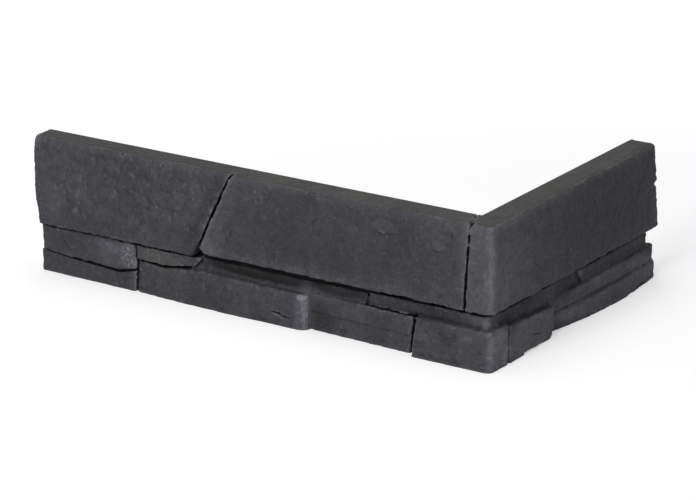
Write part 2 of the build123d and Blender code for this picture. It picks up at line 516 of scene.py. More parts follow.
SPOTS: tuple[Spot, ...] = (
    # Left slab: its lumps, shaded patches, pale broken end, knobs and a pit in the upper arris.
    Spot(Side.LONG, -268.0, 70.0, 92.0, 40.0, lump=0.75, edge=0.6),
    Spot(Side.LONG, -298.0, 44.0, 30.0, 9.0, tone=-0.2, edge=0.2),
    Spot(Side.LONG, -338.0, 58.0, 14.0, 20.0, tone=0.15, edge=0.2),
    Spot(Side.LONG, -262.0, 84.0, 34.0, 10.0, tone=-0.14, edge=0.2),
    Spot(Side.LONG, -350.0, 97.0, 6.0, 6.0, depth=1.0, tone=0.5, rough=0.6),
    Spot(Side.LONG, -345.0, 74.0, 16.0, 34.0, tone=0.16, warmth=0.3, edge=0.0),
    Spot(Side.LONG, -333.0, 48.0, 12.0, 15.0, depth=-0.5, tone=0.15, edge=0.2),
    Spot(Side.LONG, -314.0, 66.0, 11.0, 14.0, depth=-0.7, lean=(-0.7, 0.5), tone=0.05, edge=0.55),
    Spot(Side.LONG, -316.0, 51.0, 4.0, 4.5, depth=-0.3, tone=0.4, edge=0.3),
    Spot(Side.LONG, -309.0, 92.0, 5.0, 6.0, depth=-0.5, tone=0.06),
    Spot(Side.LONG, -275.0, 99.0, 1.6, 1.6, depth=0.8, tone=-0.5),
    # End ledge and end block: shade under the slab and pale scars beside the joint.
    Spot(Side.LONG, -325.0, 26.0, 24.0, 9.0, tone=-0.16, edge=0.2),
    Spot(Side.LONG, -284.0, 26.0, 25.0, 15.0, tone=0.45, edge=0.0),
    Spot(Side.LONG, -287.0, 30.0, 14.0, 6.0, tone=0.4, edge=0.0),
    Spot(Side.LONG, -272.5, 26.0, 8.0, 13.0, depth=0.4, tone=0.5, rough=1.2, edge=0.45),
    Spot(Side.LONG, -271.5, 7.0, 5.0, 11.0, tone=0.35, edge=0.0),
    # Flake and step block: earthy stains and a pale knock.
    Spot(Side.LONG, -240.0, 30.0, 28.0, 8.0, tone=0.2, warmth=0.45, rough=0.5, edge=0.4),
    Spot(Side.LONG, -236.0, 19.0, 14.0, 7.0, tone=0.06, warmth=0.4, edge=0.0),
    Spot(Side.LONG, -187.0, 20.0, 4.0, 4.0, tone=0.4, edge=0.1),
    # Slabs beyond the slanting joint: a darker field, a dark foot and a pale corner.
    Spot(Side.LONG, -95.0, 74.0, 108.0, 38.0, tone=-0.2, edge=0.45),
    Spot(Side.LONG, -130.0, 55.0, 90.0, 13.0, tone=-0.1, edge=0.2),
    Spot(Side.LONG, -203.0, 46.0, 14.0, 9.0, tone=0.35, edge=0.2),
    # Shade under the upper course.
    Spot(Side.LONG, -164.0, 33.0, 58.0, 6.5, tone=-0.55, warmth=0.3, edge=0.7),
    Spot(Side.LONG, -104.0, 32.5, 26.0, 6.0, tone=-0.42, warmth=0.2, edge=0.6),
    # Step block and split stone: dark and pale patches, and painted shade beside the step block's end and
    # over the corner block.
    Spot(Side.LONG, -190.0, 12.0, 52.0, 16.0, tone=-0.1, edge=0.3),
    Spot(Side.LONG, -147.0, 24.0, 9.0, 3.5, tone=0.3, edge=0.2),
    Spot(Side.LONG, -116.0, 10.0, 13.0, 15.0, tone=-0.5, edge=0.3),
    Spot(Side.LONG, -86.0, 20.0, 18.0, 7.0, tone=0.22, edge=0.2),
    Spot(Side.LONG, -38.0, 32.0, 46.0, 6.5, tone=-0.4, edge=0.4),
    # Upper slabs towards the corner: earthy patches, spalls and the pale arris.
    Spot(Side.LONG, -163.0, 66.0, 15.0, 11.0, tone=-0.1, warmth=0.3, edge=0.0),
    Spot(Side.LONG, -105.0, 67.0, 18.0, 12.0, tone=-0.06, warmth=0.3, edge=0.0),
    Spot(Side.LONG, -76.0, 68.0, 14.0, 16.0, tone=-0.06, warmth=0.35, edge=0.0),
    Spot(Side.LONG, -61.0, 87.0, 11.0, 5.0, depth=-0.5, lean=(0.3, -0.9), tone=0.25, edge=0.8),
    Spot(Side.LONG, -20.0, 81.0, 5.0, 3.5, depth=-0.45, lean=(0.3, -0.9), tone=0.25, edge=0.75),
    Spot(Side.LONG, 8.0, 70.0, 15.0, 55.0, tone=0.4, warmth=0.25, edge=0.5),
    # Lower course: a bite in the lower edge, the split stone's pale chip, the corner block's scars.
    Spot(Side.LONG, -163.0, -1.0, 18.0, 6.0, depth=1.3, edge=0.3),
    Spot(Side.LONG, -130.0, 23.0, 4.4, 2.4, depth=0.4, tone=2.2, rough=1.6, edge=0.5),
    Spot(Side.LONG, -14.0, 18.0, 11.0, 8.0, depth=0.5, tone=-0.3, edge=0.3),
    Spot(Side.LONG, -34.0, 15.0, 7.0, 4.0, tone=0.35, edge=0.2),
    Spot(Side.LONG, 1.0, 21.0, 8.0, 3.5, tone=0.35, edge=0.2),
    Spot(Side.LONG, -20.0, 3.0, 26.0, 3.0, depth=0.9, lean=(0.0, -0.8), tone=0.3, edge=0.4),
    # Corner slab on the short side: spalls, painted light near the corner and painted shade over the far
    # half, as the light falls off along the side.
    Spot(Side.SHORT, 114.0, 88.0, 9.0, 5.0, depth=-0.4, lean=(0.5, -0.8), tone=0.25, edge=0.7),
    Spot(Side.SHORT, 80.0, 87.0, 3.5, 5.0, depth=-0.35, tone=0.3, edge=0.5),
    Spot(Side.SHORT, -4.0, 68.0, 52.0, 60.0, tone=0.85, edge=0.0),
    Spot(Side.SHORT, 130.0, 70.0, 96.0, 46.0, tone=-0.4, edge=0.35),
    # Lower course of the short side: a pale field with a painted highlight at the corner block's arris, pale
    # and dark fields, and the shade under the slab.
    Spot(Side.SHORT, -6.0, 12.0, 14.0, 20.0, tone=1.65, edge=0.6),
    Spot(Side.SHORT, 14.0, 12.0, 10.0, 18.0, tone=0.25, edge=0.0),
    Spot(Side.SHORT, 36.0, 12.0, 42.0, 20.0, tone=0.95, edge=0.55),
    Spot(Side.SHORT, 26.0, 29.0, 34.0, 8.0, tone=-0.42, edge=0.5),
    Spot(Side.SHORT, 84.0, 7.0, 20.0, 9.0, tone=0.6, edge=0.2),
    Spot(Side.SHORT, 144.0, 12.0, 84.0, 14.0, tone=0.72, edge=0.75),
    Spot(Side.SHORT, 152.0, 6.0, 52.0, 7.0, tone=-0.32, edge=0.4),
    # Bites in the far end and in the lower edge.
    Spot(Side.SHORT, 168.0, -1.0, 8.0, 5.0, depth=1.2, edge=0.1),
    Spot(Side.SHORT, 200.0, 71.0, 6.0, 3.0, depth=2.2, edge=0.3),
    Spot(Side.SHORT, 184.0, -1.0, 11.0, 8.0, depth=1.8, edge=0.1),
    # A painted highlight on the strip's end face, and a pale knock at the corner.
    Spot(Side.SHORT, 106.0, 31.0, 6.0, 7.0, tone=1.5, edge=0.2),
    Spot(Side.LONG, 12.5, 31.0, 4.5, 5.0, tone=1.0, edge=0.2),
)
STREAKS: tuple[Streak, ...] = (
    # Cracks in the left slab, in the split stone, in the corner strip and in the return block.
    Streak(Side.LONG, (-322.5, 76.0), (-329.0, 60.0), depth=0.9),
    Streak(Side.LONG, (-304.5, 79.0), (-306.0, 68.0), depth=0.7),
    Streak(Side.LONG, (-265.4, 89.0), (-265.8, 82.0), depth=0.7),
    Streak(Side.LONG, (-155.0, 9.4), (-146.0, 8.8), width=1.8, depth=2.2),
    Streak(Side.LONG, (-149.0, 9.2), (-143.5, 6.8), width=2.0, depth=2.4),
    Streak(Side.LONG, (-145.5, 7.4), (-138.0, 6.6), width=1.8, depth=2.0),
    Streak(Side.LONG, (-45.7, 37.0), (-46.8, 27.0), width=1.0, depth=0.8),
    Streak(Side.LONG, (-20.0, 37.0), (-20.8, 27.0), width=1.2, depth=1.0),
    Streak(Side.SHORT, (36.5, 10.4), (49.0, 7.4), width=1.6, depth=1.2),
    # Slanting joint: the shade on its left, and the pale arris and slope on its right.
    Streak(Side.LONG, (-186.5, 112.0), (-229.0, 26.0), width=14.0, tone=-0.32),
    Streak(Side.LONG, (-177.0, 112.0), (-218.0, 26.0), width=7.5, tone=0.7),
    Streak(Side.LONG, (-171.0, 112.0), (-213.0, 26.0), width=20.0, tone=0.28),
    # Dry joint beside the end block.
    Streak(Side.LONG, (-268.6, -5.0), (-266.2, 30.0), width=1.6, depth=1.6),
    # Pale foot of the middle slab, and the corner's arris: pale wear with a painted highlight.
    Streak(Side.LONG, (-222.0, 43.0), (-10.0, 43.0), width=10.0, tone=0.22),
    Streak(Side.LONG, (19.0, 118.0), (19.0, 30.0), width=14.0, tone=0.4),
    Streak(Side.LONG, (18.0, 34.0), (18.0, -8.0), width=11.0, tone=0.38),
    # Corner strip: the shade under it, the split stone's pale top and the filled joint.
    Streak(Side.LONG, (-50.0, 28.8), (20.0, 28.8), width=3.0, tone=-0.5),
    Streak(Side.LONG, (-126.0, 24.5), (-42.0, 24.0), width=5.0, tone=0.15),
    Streak(Side.LONG, (-88.0, 29.2), (-34.0, 29.2), width=4.0, tone=-0.3),
    Streak(Side.LONG, (-84.0, 27.2), (-38.0, 27.2), width=2.0, depth=-4.5),
    # Painted shade in the joint beside the corner block, which is also cut a little deeper.
    Streak(Side.LONG, (-47.0, -9.0), (-41.2, 29.0), width=5.0, depth=2.2, tone=-1.0, every_way=True),
    Streak(Side.LONG, (-48.2, -9.0), (-43.0, 29.0), width=4.6, tone=-0.5),
    # Painted shade on the left slab's lower corner, inside the slanting joint and along its edge.
    Streak(Side.LONG, (-211.8, 48.0), (-218.6, 34.0), width=4.4, depth=0.5, tone=-1.0, every_way=True),
    Streak(Side.LONG, (-207.5, 58.0), (-221.0, 30.0), width=6.0, tone=-0.3),
    # Shade under the upper course.
    Streak(Side.LONG, (-228.0, 29.8), (-122.0, 28.4), width=7.0, tone=-0.45),
    Streak(Side.LONG, (-126.0, 29.0), (-72.0, 29.0), width=6.0, tone=-0.35),
    # Pale split between the two halves of the split stone.
    Streak(Side.LONG, (-130.5, 34.0), (-130.5, -10.0), width=15.0, tone=0.75),
    # Short side: the corner's arris, pale wear with a painted highlight; the far strip darker along its
    # foot; and painted light along the groove between the ledge and the bulge.
    Streak(Side.SHORT, (-17.0, 34.0), (-17.0, -8.0), width=14.0, tone=0.48),
    Streak(Side.SHORT, (-18.0, 118.0), (-18.0, 30.0), width=12.0, tone=0.34),
    Streak(Side.SHORT, (104.0, 27.0), (208.0, 27.0), width=9.0, tone=-0.5),
    Streak(Side.SHORT, (62.0, 13.6), (214.0, 13.6), width=4.0, tone=0.6),
)


def ray_directions() -> list[Vector]:
    """Even directions in space: the corners of an icosahedron and of a cube."""
    golden = (1.0 + math.sqrt(5.0)) / 2.0
    corners = [Vector((x, y, z)) for x in (-1.0, 1.0) for y in (-1.0, 1.0) for z in (-1.0, 1.0)]
    for a in (-1.0, 1.0):
        for b in (-golden, golden):
            corners += [Vector((0.0, a, b)), Vector((a, b, 0.0)), Vector((b, 0.0, a))]
    return [corner.normalized() for corner in corners]


class ReliefTree:
    """Geometry tree that turns the plain cast body into riven stone and notes where it is worn, and where it
    is hollow or shut in, for painted shade.
    """

    ATTRIBUTES = ("wear", "hollow", "tone", "warmth", "rough", "bed", "shade")
    MARKS = ("Height", "Tone", "Warmth", "Rough", "Lump")

    def __init__(self, relief: Relief) -> None:
        """Makes the tree.

        Args:
            relief: Sizes of the relief.
        """
        self.relief = relief
        self.sizes = {
            "Seed": relief.seed, "Wander": relief.wander, "Nibble": relief.nibble, "Swell": relief.swell,
            "Riven": relief.riven, "Knob": relief.knob, "Terrace": relief.terrace, "Pit": relief.pit,
            "Rough": relief.rough,
        }
        inputs = {"Geometry": "geometry", **{k: "value" for k in self.sizes}}
        inputs |= {"Face finish": "material", "Back finish": "material"}
        self.group = Group("riven_relief", "GeometryNodeTree", inputs, {"Geometry": "geometry"})
        self.spot = self.spot_group()
        self.streak = self.streak_group()
        self.build()

    @staticmethod
    def spot_group() -> bpy.types.NodeTree:
        """Group that adds one spot to the running height, tone, warmth, roughness and lumps."""
        running = {label: "value" for label in ReliefTree.MARKS}
        added = {"Depth": "value", **{f"Add {label}": "value" for label in ReliefTree.MARKS[1:]}}
        shape = {
            "Point": "vector",
            "Facing": "value",
            "Centre": "vector",
            "Reach": "vector",
            "Lean": "vector",
            "Edge": "value",
        }
        group = Group("stone_spot", "GeometryNodeTree", {**running, **shape, **added}, running)
        n, given = group.nodes, group.given
        near = n.vector("MULTIPLY", n.vector("SUBTRACT", given["Point"], given["Centre"]), given["Reach"])
        ring = n.smooth(n.measure("LENGTH", near), 1.0, given["Edge"])
        mask = n.math("MULTIPLY", ring, given["Facing"])
        ramp = n.math("ADD", 1.0, n.measure("DOT_PRODUCT", near, given["Lean"]))
        cut = n.math("MULTIPLY", n.math("MULTIPLY", mask, n.math("MAXIMUM", ramp, 0.0)), given["Depth"])
        results = {
            label: n.math("MULTIPLY_ADD", mask, given[f"Add {label}"], given[label])
            for label in ReliefTree.MARKS[1:]
        }
        group.gives(Height=n.math("SUBTRACT", given["Height"], cut), **results)
        return group.tree

    @staticmethod
    def streak_group() -> bpy.types.NodeTree:
        """Group that adds one streak to the running height and tone."""
        running = {"Height": "value", "Tone": "value"}
        inputs = {
            **running,
            "Point": "vector",
            "Facing": "value",
            "Plane": "vector",
            "Start": "vector",
            "Run": "vector",
            "Width": "value",
            "Depth": "value",
            "Add Tone": "value",
        }
        group = Group("stone_streak", "GeometryNodeTree", inputs, running)
        n, given = group.nodes, group.given
        reach = n.vector("SUBTRACT", n.vector("MULTIPLY", given["Point"], given["Plane"]), given["Start"])
        span = n.measure("DOT_PRODUCT", given["Run"], given["Run"])
        along = n.math("DIVIDE", n.measure("DOT_PRODUCT", reach, given["Run"]), span)
        share = n.add("ShaderNodeClamp", {0: along}).outputs[0]
        off = n.measure("LENGTH", n.vector("SUBTRACT", reach, n.scaled(given["Run"], share)))
        # The taper is 1 half-way along and 0 at both ends.
        rest = n.math("SUBTRACT", 1.0, share)
        taper = n.math("SQRT", n.math("MULTIPLY", n.math("MULTIPLY", share, rest), 4.0))
        line = n.smooth(off, n.math("MULTIPLY", given["Width"], 0.5), 0.0)
        mask = n.math("MULTIPLY", n.math("MULTIPLY", line, taper), given["Facing"])
        group.gives(
            Height=n.math("SUBTRACT", given["Height"], n.math("MULTIPLY", mask, given["Depth"])),
            Tone=n.math("MULTIPLY_ADD", mask, given["Add Tone"], given["Tone"]),
        )
        return group.tree

    def facing(self, normal: Socket) -> dict[Side, Socket]:
        """How far a surface looks out of each side.

        Args:
            normal: Surface normal.

        Returns:
            A number from 0 to 1 for each side.
        """
        n = self.group.nodes
        x, y, _ = n.split(normal)
        return {
            Side.LONG: n.smooth(n.math("MULTIPLY", y, -1.0), *self.relief.facing),
            Side.SHORT: n.smooth(x, *self.relief.facing),
        }

    def place(self) -> tuple[Socket, Socket]:
        """Position in millimetres and depth in front of the wall faces."""
        n = self.group.nodes
        point = n.scaled(n.add("GeometryNodeInputPosition").outputs[0], 1.0 / MM)
        x, y, _ = n.split(point)
        return point, n.math("MAXIMUM", n.math("MULTIPLY", y, -1.0), x)

    def moved(self, geometry: Socket, shift: Socket) -> Socket:
        """Geometry with its points shifted, in metres."""
        feeds = {"Geometry": geometry, "Offset": shift}
        return self.group.nodes.add("GeometryNodeSetPosition", feeds).outputs[0]

    def wandered(self, geometry: Socket) -> Socket:
        """Edges and joints that no longer run dead straight.

        Args:
            geometry: The cast body.

        Returns:
            The body with its edges shifted, and its back and lower bed in place.
        """
        n, given, r = self.group.nodes, self.group.given, self.relief
        point, depth = self.place()
        shifts = []
        for label, size, seed in (("Wander", r.wander_size, 0.0), ("Nibble", r.nibble_size, r.nibble_seed)):
            noise = n.noise(point, size, n.math("ADD", given["Seed"], seed), detail=r.wander_detail)
            shifts.append(n.scaled(n.shaken(noise), n.math("MULTIPLY", given[label], 2.0)))
        x, y, z = n.split(n.vector("ADD", *shifts))
        height = n.split(point)[2]
        loose = n.math("MULTIPLY", n.smooth(height, *r.loose_foot), n.smooth(height, *r.loose_head))
        shift = n.joined(x, y, n.math("MULTIPLY", z, loose))
        free = n.math("MULTIPLY", n.smooth(depth, *r.loose_depth), MM)
        return self.moved(geometry, n.scaled(shift, free))

    def stone(self, point: Socket, warped: Socket, lump: Feed) -> Socket:
        """Height of the riven stone: its swelling, flakes, knobs, terraces and pits.

        Args:
            point: Where the surface is, in millimetres.
            warped: The same, shaken a little.
            lump: How lumpy it is there.

        Returns:
            The height, in millimetres.
        """
        n, given, r = self.group.nodes, self.group.given, self.relief
        seed = given["Seed"]
        swell = n.signed(n.noise(point, r.swell_size, seed, detail=1.0), given["Swell"])
        stretched = n.vector("MULTIPLY", point, Vector(r.riven_stretch))
        flaked = n.noise(stretched, r.riven_size, seed, detail=4.0, rough=0.55, warp=0.5)
        flakes = n.signed(flaked, given["Riven"])
        layers = n.noise(point, r.terrace_size, n.math("ADD", seed, r.terrace_seed), detail=3.0)
        level = n.math("MULTIPLY", layers.outputs[0], r.terrace_levels)
        scarp = n.math("ADD", n.math("FLOOR", level), n.smooth(n.math("FRACT", level), *r.terrace_scarp))
        ledges = n.math("MULTIPLY", n.math("SUBTRACT", scarp, level), given["Terrace"])
        away, chance = n.cells(point, 1.0 / r.pit_cell)
        wide = n.math("MULTIPLY", n.split(chance)[0], r.pit_width / r.pit_cell)
        bowl = n.smooth(n.math("SUBTRACT", away, wide), *r.pit_lip)
        pits = n.math("MULTIPLY", bowl, given["Pit"])
        cobble, _ = n.cells(warped, 1.0 / r.knob_size)
        knobs = n.math("MULTIPLY", n.math("SUBTRACT", r.knob_level, cobble), given["Knob"])
        lumps = n.math("MULTIPLY_ADD", n.math("ADD", flakes, knobs), lump, flakes)
        return n.math("SUBTRACT", n.math("ADD", n.math("ADD", swell, lumps), ledges), pits)

    def riven(self, geometry: Socket) -> tuple[Socket, dict[str, Socket]]:
        """Riven faces with their scars, cracks and pits.

        Args:
            geometry: The body with its wandering edges.

        Returns:
            The body with its relief, and the tone, warmth, roughness and bed of its surface.
        """
        n, given, r = self.group.nodes, self.group.given, self.relief
        point, depth = self.place()
        normal = n.add("GeometryNodeInputNormal").outputs[0]
        facing = self.facing(normal)
        front = n.smooth(depth, *r.front)
        height = n.split(point)[2]
        foot = n.smooth(height, *r.foot)
        bed = n.math("MULTIPLY", n.smooth(n.split(normal)[2], *r.bed_tilt), n.smooth(height, *r.bed_height))
        warp = n.shaken(n.noise(point, r.spot_warp_size, given["Seed"]))
        warped = n.vector("ADD", point, n.scaled(warp, r.spot_warp))
        running: dict[str, Feed] = {label: 0.0 for label in self.MARKS}
        for spot in SPOTS:
            running = self.marked(spot, running, warped, facing[spot.side])
        for streak in STREAKS:
            running = self.drawn(streak, running, point, front if streak.every_way else facing[streak.side])
        crumb = n.signed(n.noise(point, r.rough_size, given["Seed"]), given["Rough"])
        broken = n.math("MULTIPLY", crumb, running["Rough"])
        calm = n.math("SUBTRACT", 1.0, n.math("MULTIPLY", bed, 1.0 - r.bed_share))
        share = n.math("MULTIPLY", n.math("MULTIPLY", front, foot), calm)
        stone = self.stone(point, warped, running["Lump"])
        grown = n.math("MULTIPLY", n.math("ADD", stone, broken), share)
        total = n.math("MULTIPLY_ADD", running["Height"], front, grown)
        x, y, z = n.split(n.scaled(normal, n.math("MULTIPLY", total, MM)))
        moved = self.moved(geometry, n.joined(x, y, n.math("MULTIPLY", z, foot)))
        notes = {label.lower(): running[label] for label in ("Tone", "Warmth", "Rough")}
        return moved, {**notes, "bed": bed}

    def marked(self, spot: Spot, running: dict[str, Feed], point: Socket, facing: Socket) -> dict[str, Feed]:
        """Adds one spot.

        Args:
            spot: The spot.
            running: Height, tone, warmth, roughness and lumps so far.
            point: Where the surface is, in millimetres.
            facing: How far it looks out of the spot's side.

        Returns:
            The same with the spot.
        """
        side = spot.side
        feeds = {
            **running,
            "Point": point,
            "Facing": facing,
            "Centre": side.point(spot.along, spot.up),
            "Reach": side.point(1.0 / spot.length, 1.0 / spot.height),
            "Lean": side.point(*spot.lean),
            "Edge": spot.edge,
            "Depth": spot.depth,
            "Add Tone": spot.tone,
            "Add Warmth": spot.warmth,
            "Add Rough": spot.rough,
            "Add Lump": spot.lump,
        }
        return self.group.nodes.use(self.spot, feeds)

    def drawn(
        self, streak: Streak, running: dict[str, Feed], point: Socket, facing: Socket
    ) -> dict[str, Feed]:
        """Adds one streak.

        Args:
            streak: The streak.
            running: Height, tone, warmth, roughness and lumps so far.
            point: Where the surface is, in millimetres.
            facing: How far the surface takes the streak.

        Returns:
            The same with the streak.
        """
        start = streak.side.point(*streak.start)
        feeds = {
            "Height": running["Height"],
            "Tone": running["Tone"],
            "Point": point,
            "Facing": facing,
            "Plane": streak.side.plane,
            "Start": start,
            "Run": streak.side.point(*streak.end) - start,
            "Width": streak.width,
            "Depth": streak.depth,
            "Add Tone": streak.tone,
        }
        return {**running, **self.group.nodes.use(self.streak, feeds)}

    def shaded(self, geometry: Socket) -> Socket:
        """How far the surface is shut in by what stands close in front of it, which the material paints as
        shade.

        Args:
            geometry: The body with its relief.

        Returns:
            A number from 0, open, to 1, deep in a joint.
        """
        n, r = self.group.nodes, self.relief
        place = n.add("GeometryNodeInputPosition").outputs[0]
        normal = n.add("GeometryNodeInputNormal").outputs[0]
        start = n.vector("ADD", place, n.scaled(normal, r.shade_start * MM))
        directions = ray_directions()
        shut: Feed = 0.0
        for direction in directions:
            feeds = {
                "Target Geometry": geometry, "Source Position": start,
                "Ray Direction": n.vector("ADD", normal, direction), "Ray Length": r.shade_reach * MM,
            }
            far = n.add("GeometryNodeRaycast", feeds).outputs["Hit Distance"]
            shut = n.math("ADD", shut, n.math("MULTIPLY_ADD", far, -1.0 / (r.shade_reach * MM), 1.0))
        share = n.math("DIVIDE", shut, float(len(directions)))
        feeds = {"Value": share, "Iterations": r.shade_blur}
        return n.add("GeometryNodeBlurAttribute", feeds, data_type="FLOAT").outputs[0]

    def noted(self, geometry: Socket, notes: dict[str, Socket]) -> Socket:
        """Body that carries its wear, its hollows, how shut in it is and its notes as attributes; the
        hollows and the shut-in places get painted shade.

        Args:
            geometry: The body with its relief.
            notes: Tone, warmth, roughness and bed.

        Returns:
            The body with the attributes.
        """
        n, r = self.group.nodes, self.relief
        place = n.add("GeometryNodeInputPosition").outputs[0]
        normal = n.add("GeometryNodeInputNormal").outputs[0]
        feeds = {"Value": place, "Iterations": r.wear_blur}
        blurred = n.add("GeometryNodeBlurAttribute", feeds, data_type="FLOAT_VECTOR").outputs[0]
        proud = n.measure("DOT_PRODUCT", n.vector("SUBTRACT", place, blurred), normal)
        bulge = n.math("DIVIDE", proud, MM)
        open_arris = n.math("SUBTRACT", 1.0, notes["bed"])
        notes = {
            "wear": n.math("MULTIPLY", n.smooth(bulge, *r.wear_bulge), open_arris),
            # Hollows: the material paints shade into them.
            "hollow": n.smooth(bulge, *r.hollow_bulge),
            # How shut in the surface is: the material paints shade from it.
            "shade": self.shaded(geometry),
            **notes,
        }
        for label in self.ATTRIBUTES:
            feeds = {"Geometry": geometry, "Name": label, "Value": notes[label]}
            stored = n.add("GeometryNodeStoreNamedAttribute", feeds, data_type="FLOAT", domain="POINT")
            geometry = stored.outputs[0]
        return geometry

    def build(self) -> None:
        """Joins the steps from the plain body to the finished one."""
        n, given = self.group.nodes, self.group.given
        geometry = self.wandered(given["Geometry"])
        geometry = self.noted(*self.riven(geometry))
        _, depth = self.place()
        at_back = n.math("LESS_THAN", depth, self.relief.back_skin)
        real = n.add("GeometryNodeRealizeInstances", {"Geometry": geometry}).outputs[0]
        feeds = {"Geometry": real, "Material": given["Face finish"]}
        dressed = n.add("GeometryNodeSetMaterial", feeds).outputs[0]
        feeds = {"Geometry": dressed, "Selection": at_back, "Material": given["Back finish"]}
        self.group.gives(Geometry=n.add("GeometryNodeSetMaterial", feeds).outputs[0])

    def fit(self, piece: bpy.types.Object, face: bpy.types.Material, back: bpy.types.Material) -> None:
        """Puts the tree on an object.

        Args:
            piece: Object that gets the relief.
            face: Finish of the riven faces.
            back: Finish of the back.
        """
        modifier = piece.modifiers.new("riven_relief", "NODES")
        modifier.node_group = self.group.tree
        for label, value in {**self.sizes, "Face finish": face, "Back finish": back}.items():
            modifier[self.group.identifier(label)] = value


@dataclass
class ConcreteShader:
    """Makes the concrete's materials from shared effects."""

    shares: Shares = Shares()
    sand: Sand = Sand()
    cement: CementGrain = CementGrain()

    def __post_init__(self) -> None:
        """Makes the shared groups once."""
        self.mottling = self.mottling_group()
        self.specks = self.specks_group()
        self.grain = self.grain_group()

    @staticmethod
    def mottling_group() -> bpy.types.NodeTree:
        """Clouds, blotches, flecks and stains of the pigment in the face mix."""
        outputs = {layer.label: "value" for layer in PIGMENT}
        group = Group("pigment_mottling", "ShaderNodeTree", {"Point": "vector", "Seed": "value"}, outputs)
        n, given = group.nodes, group.given
        for layer in PIGMENT:
            point = n.vector("MULTIPLY", given["Point"], Vector(layer.stretch))
            seed = n.math("ADD", given["Seed"], layer.seed)
            noise = n.noise(point, layer.size, seed, layer.detail, layer.rough, layer.warp)
            group.gives(**{layer.label: n.smooth(noise.outputs[0], *layer.step)})
        return group.tree

    def specks_group(self) -> bpy.types.NodeTree:
        """Pale grains of sand and dark pores that show in the face."""
        inputs = {"Point": "vector", "Cell": "value", "Share": "value"}
        group = Group("sand_specks", "ShaderNodeTree", inputs, {"Grain": "value", "Pore": "value"})
        n, given, s = group.nodes, group.given, self.sand
        away, chance = n.cells(given["Point"], n.math("DIVIDE", 1.0, given["Cell"]))
        red, green, blue = n.split(chance)
        radius = n.math("MULTIPLY_ADD", n.math("POWER", blue, s.rarity), s.spread, s.least)
        core = n.smooth(n.math("DIVIDE", away, radius), *s.rim)
        chosen = n.math("LESS_THAN", red, given["Share"])
        holed = n.math("LESS_THAN", green, n.math("MULTIPLY", given["Share"], s.pores))
        group.gives(Grain=n.math("MULTIPLY", core, chosen), Pore=n.math("MULTIPLY", core, holed))
        return group.tree

    def grain_group(self) -> bpy.types.NodeTree:
        """Height of the fine cement grain, as a share of the bump's distance."""
        inputs = {"Point": "vector", "Seed": "value"}
        group = Group("cement_grain", "ShaderNodeTree", inputs, {"Height": "value"})
        n, given, c = group.nodes, group.given, self.cement
        coarse = n.noise(given["Point"], c.coarse_size, given["Seed"], detail=4.0, rough=0.65)
        fine = n.noise(given["Point"], c.fine_size, n.math("ADD", given["Seed"], c.fine_seed))
        group.gives(Height=n.math("MULTIPLY_ADD", fine.outputs[0], c.fine_share, coarse.outputs[0]))
        return group.tree

    @staticmethod
    def notes(n: Nodes, finish: ConcreteFinish) -> dict[str, Feed]:
        """Notes that the relief left on the surface.

        Args:
            n: The material's nodes.
            finish: The finish, which may take no marks.

        Returns:
            A number for each note, 0 for all if the finish takes no marks.
        """
        notes: dict[str, Feed] = {label: 0.0 for label in ReliefTree.ATTRIBUTES}
        if finish.marked:
            for label in notes:
                read = n.add("ShaderNodeAttribute", attribute_name=label, attribute_type="GEOMETRY")
                notes[label] = read.outputs["Fac"]
        return notes

    def pigment(self, n: Nodes, finish: ConcreteFinish, mottle: dict[str, Socket]) -> Socket:
        """Colour of the concrete as it was cast.

        Args:
            n: The material's nodes.
            finish: Its colours.
            mottle: Layers of the pigment.

        Returns:
            The colour.
        """
        s = self.shares
        body = n.math("MULTIPLY", mottle["Blotch"], s.blotch)
        body = n.math("MULTIPLY_ADD", mottle["Cloud"], s.cloud, body)
        body = n.math("MULTIPLY_ADD", mottle["Patch"], s.patch, body)
        colour = n.mix(body, opaque(finish.deep), opaque(finish.middle))
        bloom = n.math("MULTIPLY", mottle["Fleck"], n.sloped(mottle["Blotch"], s.fleck))
        bloom = n.math("MULTIPLY_ADD", mottle["Grit"], n.sloped(mottle["Fleck"], s.grit), bloom)
        return n.mix(bloom, colour, opaque(finish.pale))

    def weathered_and_shaded(self, n: Nodes, finish: ConcreteFinish, colour: Socket, masks: dict[str, Feed]) -> Socket:
        """Colour with its stains, marks, worn arrises, sand and pores, and its painted light and shade:
        shade on the top bed, a highlight with the wear on the bed's rim, and shade in hollows, joints and
        recesses.

        Args:
            n: The material's nodes.
            finish: Its colours.
            colour: Colour as it was cast.
            masks: Layers of the pigment, specks and notes on the surface.

        Returns:
            The colour.
        """
        s = self.shares
        blotch, bed = masks["Blotch"], masks["bed"]
        stained = n.math("MULTIPLY", masks["Stain"], s.stain)
        stained = n.math("MULTIPLY_ADD", masks["warmth"], n.sloped(blotch, s.warm), stained)
        warm = n.math("ADD", stained, n.math("MULTIPLY", bed, n.sloped(blotch, s.warm_bed)))
        colour = n.mix(n.math("MINIMUM", warm, s.most_warm), colour, opaque(finish.earth))
        # Painted shade on the top bed, which holds it darker under the stronger light from above, mottled by
        # the clouds.
        top_shade = n.math("MULTIPLY", bed, n.sloped(masks["Cloud"], s.painted_bed_shade))
        # The marks' tone is their own paler and darker stone, and their painted light and shade; the top
        # bed's painted shade multiplies it.
        tone_and_light = n.math("MULTIPLY", n.math("ADD", 1.0, masks["tone"]), n.math("ADD", 1.0, top_shade))
        colour = n.mix(1.0, colour, n.joined(tone_and_light, tone_and_light, tone_and_light), blend="MULTIPLY")
        crumbs = n.math("MULTIPLY", n.math("ADD", masks["Fleck"], masks["Grit"]), s.crumb)
        rubbed = n.math("MULTIPLY", masks["wear"], n.sloped(blotch, s.worn))
